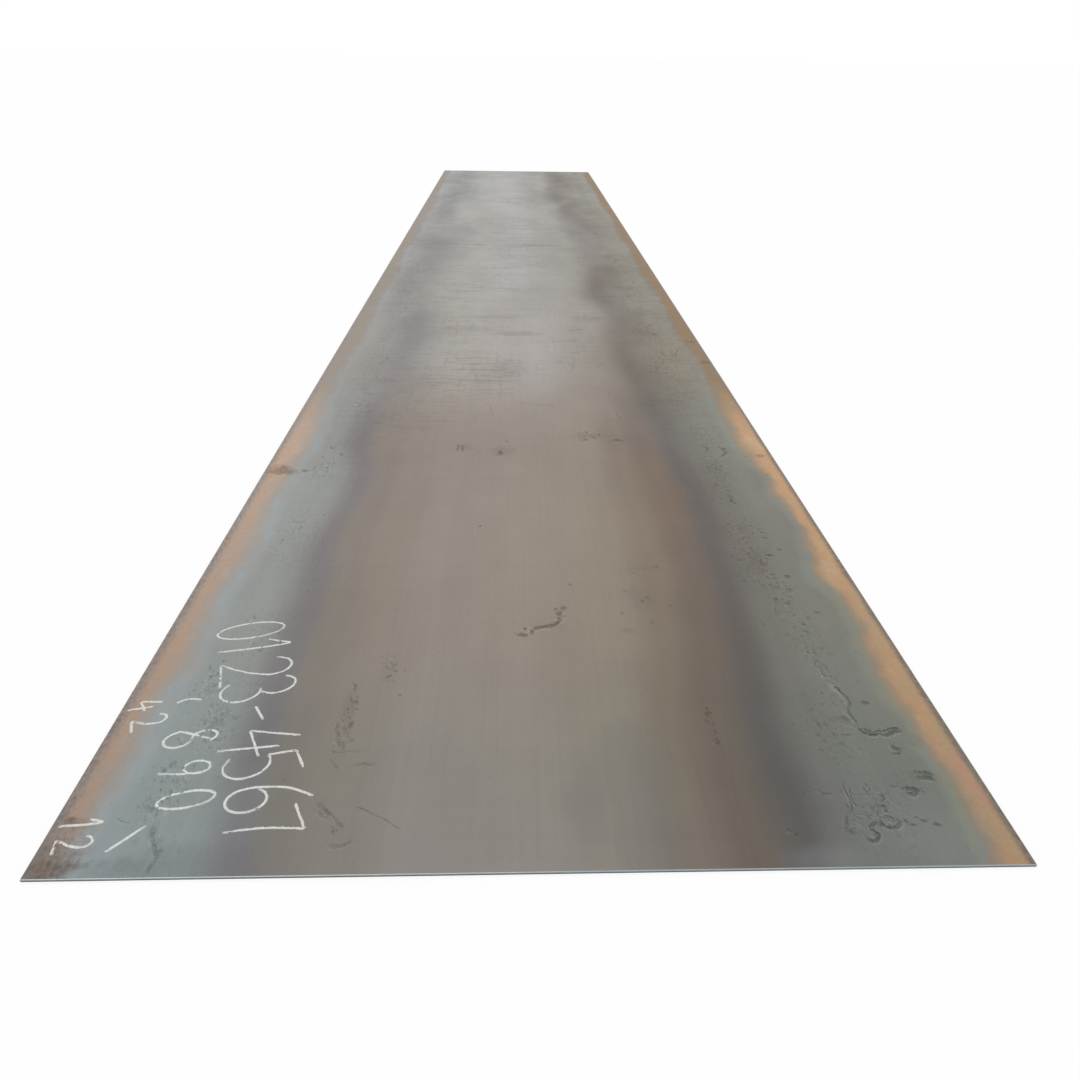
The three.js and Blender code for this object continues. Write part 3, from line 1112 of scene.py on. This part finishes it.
def wandering(rng, x, longest, bearing, spread, step):
    """A short crooked path somewhere in the far part."""
    from_near = rng.uniform(FAR_FROM, LENGTH - LINES_KEEP)
    stride = rng.uniform(SHORTEST, longest) / BENDS
    heading = rng.gauss(bearing, spread)
    points = [(x, from_near)]
    for _ in range(BENDS):
        heading += rng.gauss(0, CROOK)
        x += stride * math.cos(heading)
        from_near += stride * math.sin(heading)
        points.append((x, from_near))
    return face_path(points, step)


def in_margin(rng, middle, spread, sides=(-1, 1)):
    """An x in either margin, about so far from the centre line."""
    return rng.choice(sides) * rng.gauss(middle, spread)


def add_lines(flaws):
    """The seams and worms that have places of their own."""
    for half_width, mark, relief, *row in SEAMS:
        path = listed_path(row, LINE_STEP)
        flaws.ridge(path, half_width / 1000, mark / 100, relief / 100, RIDGE)
    for half_width, mark, relief, *row in WORMS:
        worm(flaws, listed_path(row, LINE_STEP), half_width / 1000, mark / 100, relief / 100)


def add_far_lines(flaws):
    """Seams and worms at random, beyond those."""
    rng = flaws.rng
    # relief below is how far the painted lit and shaded sides differ.
    for _ in range(FAR_WORMS):
        path = wandering(rng, in_margin(rng, 0.565, 0.035, (-1, 1, 1)), 0.12, 1.5, 0.5, LINE_STEP)
        worm(flaws, path, rng.uniform(0.003, 0.007), rng.uniform(-0.22, -0.06), relief=0.12)
    for _ in range(FAR_SEAMS):
        path = wandering(rng, rng.uniform(-0.42, 0.40), 0.16, 0.0, 0.3, FAR_STEP)
        half_width, mark = rng.uniform(0.004, 0.010), rng.uniform(-0.22, -0.08)
        flaws.ridge(path, half_width, mark, relief=0.06, profile=RIDGE)


def add_swellings(flaws):
    """Blisters and clouds of them, likewise."""
    for *place, mark in BLISTERS:
        swelling(flaws, *metres(place), mark / 100, BLISTER_SIDE_SHADING)
    for place in BUMPS:
        swelling(flaws, *metres(place), 0.0, BUMP_SIDE_SHADING)
    for *place, count in CLOUDS:
        cloud(flaws, *metres(place), count)


def add_far_swellings(flaws):
    """Clouds of blisters at random beyond those, and single ones all along."""
    rng = flaws.rng
    for _ in range(FAR_CLOUDS):
        x = in_margin(rng, 0.57, 0.03)
        from_near = rng.uniform(FAR_FROM, LENGTH - CLOUDS_KEEP)
        cloud(flaws, x, from_near, rng.uniform(0.02, 0.04), rng.uniform(0.05, 0.16), rng.randint(14, 40))
    for _ in range(LONE_BLISTERS):
        x = in_margin(rng, 0.57, 0.05)
        y = rng.uniform(low.y + BITS_KEEP, high.y - BITS_KEEP)
        radius, slim = rng.uniform(0.002, 0.006), rng.uniform(0.6, 1.8)
        # relief is how far the painted lit and shaded sides differ.
        flaws.blister(x, y, radius, rng.gauss(-0.08, 0.06), relief=0.08, slim=slim, turn=ALONG)


def add_specks(flaws):
    """Chips and crumbs all over, most of them in the margins."""
    rng = flaws.rng
    for _ in range(SPECKS):
        from_near = rng.uniform(BITS_KEEP, LENGTH - BITS_KEEP)
        x = rng.uniform(-0.73, 0.73)
        if rng.random() < SPECKS_ASIDE:
            x = in_margin(rng, 0.58, 0.05)
        mark = rng.choice(SPECK_MARKS)
        radius, turn = rng.uniform(0.0005, 0.0017), rng.uniform(1.2, 1.9)
        flaws.flake(x, low.y + from_near, radius, mark, slim=SPECK_SLIM, turn=turn)


# The pieces of each seed, which share its draws in this order.
FLAWS = (
    (17, (("rolled_in_lines", add_lines), ("far_rolled_in_lines", add_far_lines))),
    (7, (("scale_blisters", add_swellings), ("far_scale_blisters", add_far_swellings))),
    (11, (("loose_scale_flakes", add_specks),)),
)


def add_flaws(steel):
    for seed, pieces in FLAWS:
        rng = random.Random(seed)
        for name, fill in pieces:
            flaws = Scatter(rng)
            fill(flaws)
            flaws.piece(name, steel)


# ---- floor, light, world ----

DAYLIGHT = 0.62
KEY_STRENGTH = 1.5
KEY_SPREAD = math.radians(35)
KEY_HEIGHT = math.radians(50)
KEY_BEARING = math.radians(-120)
FLOOR_HALF = 1500.0
# The share of plain white in what is seen of the floor. The rest shows the plate's shadow.
FLOOR_GLOW = 0.65


def add_floor():
    """A pale floor, nearly white to the camera and in reflections, with the plate's shadow."""
    material, g = new_material("floor")
    seen = g.seen()
    paint = g.add("BsdfDiffuse", {"Color": (0.99, 0.99, 0.99, 1.0)}).outputs[0]
    glow = g.add("Emission", {"Color": (1.0, 1.0, 1.0, 1.0), "Strength": 1.0}).outputs[0]
    mix = g.add("MixShader", {0: g.product(seen, FLOOR_GLOW), 1: paint, 2: glow}).outputs[0]
    g.links.new(mix, g.add("OutputMaterial").inputs[0])
    material.cycles.emission_sampling = "NONE"
    mesh = bpy.data.meshes.new("floor")
    corners = [(-1, -1), (1, -1), (1, 1), (-1, 1)]
    points = [(a * FLOOR_HALF, b * FLOOR_HALF, low.z) for a, b in corners]
    mesh.from_pydata(points, [], [(0, 1, 2, 3)])
    mesh.materials.append(material)
    floor = add_object("floor", mesh)


def add_light():
    """Even daylight from all round, and a broad key from the left behind the camera."""
    world = bpy.data.worlds.new("daylight")
    bpy.context.scene.world = world
    world.use_nodes = True
    g = Graph(world.node_tree)
    strength = g.between(g.seen(), DAYLIGHT, 1.0)
    sky = g.add("Background", {"Color": (1, 1, 1, 1), "Strength": strength})
    g.links.new(sky.outputs[0], g.add("OutputWorld").inputs[0])
    lamp = bpy.data.lights.new("key", "SUN")
    lamp.energy = KEY_STRENGTH
    lamp.angle = KEY_SPREAD
    key = add_object("key", lamp)
    key.rotation_euler = (math.pi / 2 - KEY_HEIGHT, 0, KEY_BEARING + math.pi / 2)


# ---- the whole ----

add_camera()
add_light()
add_floor()
steel = steel_finish()
plate.data.materials.clear()
plate.data.materials.append(steel)
add_flaws(steel)
add_chalk()
bpy.context.scene.view_settings.view_transform = "Standard"
